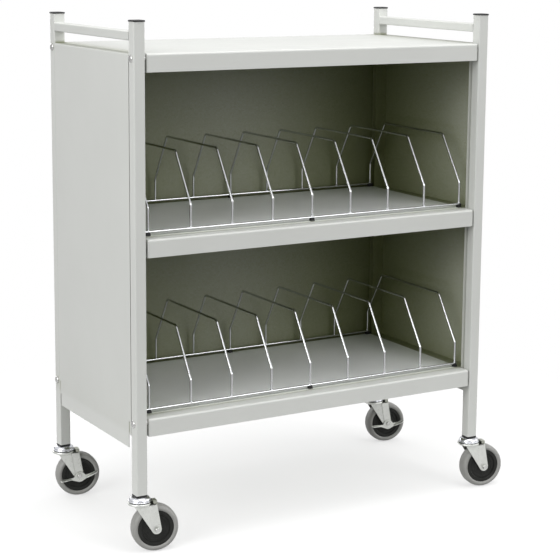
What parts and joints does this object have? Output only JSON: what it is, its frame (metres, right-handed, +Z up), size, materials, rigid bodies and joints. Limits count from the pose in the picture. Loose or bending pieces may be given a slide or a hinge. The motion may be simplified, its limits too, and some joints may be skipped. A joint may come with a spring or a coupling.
{
  "type": "medical chart rack",
  "caption": "Mobile chart rack with square posts, sheet shelves, side and back panels, wire binder dividers, end handle rails and swivel casters with rear brakes.",
  "frame": {"origin": "on the floor, under the middle of the whole outline with all casters trailing to the right", "axes": "+X to the rack's right as seen from its open front, +Y towards its back, +Z up"},
  "size_m": [0.9714, 0.4622, 1.118],
  "materials": {
    "frame_paint": "smooth satin light-grey powder coat",
    "tray_paint": "thin satin grey paint",
    "black_plastic": "moulded matte black",
    "wire_chrome": "bright drawn wire",
    "bright_chrome": "polished pressed cover",
    "zinc_plate": "bright zinc-plated stamping",
    "fastener_steel": "zinc-plated fastener",
    "grey_tread": "matte non-marking grey tread",
    "hub_plastic": "charcoal moulded hub",
    "nylon": "natural nylon sleeve"
  },
  "bodies": {
    "frame": {"post_front_left": "frame_paint", "post_front_right": "frame_paint", "post_rear_left": "frame_paint", "post_rear_right": "frame_paint", "handle_left": "frame_paint", "handle_right": "frame_paint", "shelf_top": "frame_paint", "shelf_middle": "frame_paint", "shelf_bottom": "frame_paint", "shelf_skirts_top": "frame_paint", "shelf_skirts_middle": "frame_paint", "shelf_skirts_bottom": "frame_paint", "side_panel_left": "frame_paint", "side_panel_right": "frame_paint", "back_panel": "frame_paint", "post_caps": "black_plastic", "caster_plugs": "black_plastic", "rail_feet_middle": "black_plastic", "rail_feet_bottom": "black_plastic", "divider_tray_middle": "tray_paint", "divider_tray_bottom": "tray_paint", "divider_rails_middle": "wire_chrome", "divider_rails_bottom": "wire_chrome", "divider_hoops_middle": "wire_chrome", "divider_hoops_bottom": "wire_chrome", "swivel_bells": "bright_chrome", "frame_bolts": "fastener_steel", "bolt_spacers": "fastener_steel", "frame_nuts": "fastener_steel", "back_screws": "fastener_steel", "kingpins": "fastener_steel", "swivel_bearings": "fastener_steel"},
    "swivel_front_left": {"fork_front_left": "zinc_plate", "axle_bolt_front_left": "fastener_steel", "axle_nut_front_left": "fastener_steel"},
    "wheel_front_left": {"tyre_front_left": "grey_tread", "hub_front_left": "hub_plastic", "wheel_bushing_front_left": "nylon"},
    "swivel_front_right": {"fork_front_right": "zinc_plate", "axle_bolt_front_right": "fastener_steel", "axle_nut_front_right": "fastener_steel"},
    "wheel_front_right": {"tyre_front_right": "grey_tread", "hub_front_right": "hub_plastic", "wheel_bushing_front_right": "nylon"},
    "swivel_rear_left": {"fork_rear_left": "zinc_plate", "axle_bolt_rear_left": "fastener_steel", "axle_nut_rear_left": "fastener_steel"},
    "wheel_rear_left": {"tyre_rear_left": "grey_tread", "hub_rear_left": "hub_plastic", "wheel_bushing_rear_left": "nylon"},
    "swivel_rear_right": {"fork_rear_right": "zinc_plate", "axle_bolt_rear_right": "fastener_steel", "axle_nut_rear_right": "fastener_steel"},
    "wheel_rear_right": {"tyre_rear_right": "grey_tread", "hub_rear_right": "hub_plastic", "wheel_bushing_rear_right": "nylon"},
    "brake_rear_left": {"brake_lever_rear_left": "zinc_plate"},
    "brake_rear_right": {"brake_lever_rear_right": "zinc_plate"}
  },
  "joints": [
    {"name": "swivel_turn_front_left", "type": "hinge", "parent": "frame", "child": "swivel_front_left", "pos_m": [-0.46122, -0.2033, 0.1036], "axis": [0, 0, 1], "continuous": true},
    {"name": "wheel_spin_front_left", "type": "hinge", "parent": "swivel_front_left", "child": "wheel_front_left", "pos_m": [-0.43032, -0.20942, 0.0508], "axis": [0.1942, 0.981, 0], "continuous": true},
    {"name": "swivel_turn_front_right", "type": "hinge", "parent": "frame", "child": "swivel_front_right", "pos_m": [0.40238, -0.2033, 0.1036], "axis": [0, 0, 1], "continuous": true},
    {"name": "wheel_spin_front_right", "type": "hinge", "parent": "swivel_front_right", "child": "wheel_front_right", "pos_m": [0.43328, -0.20942, 0.0508], "axis": [0.1942, 0.981, 0], "continuous": true},
    {"name": "swivel_turn_rear_left", "type": "hinge", "parent": "frame", "child": "swivel_rear_left", "pos_m": [-0.46122, 0.2033, 0.1036], "axis": [0, 0, 1], "continuous": true},
    {"name": "wheel_spin_rear_left", "type": "hinge", "parent": "swivel_rear_left", "child": "wheel_rear_left", "pos_m": [-0.43032, 0.19718, 0.0508], "axis": [0.1942, 0.981, 0], "continuous": true},
    {"name": "brake_rock_rear_left", "type": "hinge", "parent": "swivel_rear_left", "child": "brake_rear_left", "pos_m": [-0.43032, 0.19718, 0.0508], "axis": [0.1942, 0.981, 0], "range_deg": [0, 25]},
    {"name": "swivel_turn_rear_right", "type": "hinge", "parent": "frame", "child": "swivel_rear_right", "pos_m": [0.40238, 0.2033, 0.1036], "axis": [0, 0, 1], "continuous": true},
    {"name": "wheel_spin_rear_right", "type": "hinge", "parent": "swivel_rear_right", "child": "wheel_rear_right", "pos_m": [0.43328, 0.19718, 0.0508], "axis": [0.1942, 0.981, 0], "continuous": true},
    {"name": "brake_rock_rear_right", "type": "hinge", "parent": "swivel_rear_right", "child": "brake_rear_right", "pos_m": [0.43328, 0.19718, 0.0508], "axis": [0.1942, 0.981, 0], "range_deg": [0, 25]}
  ]
}
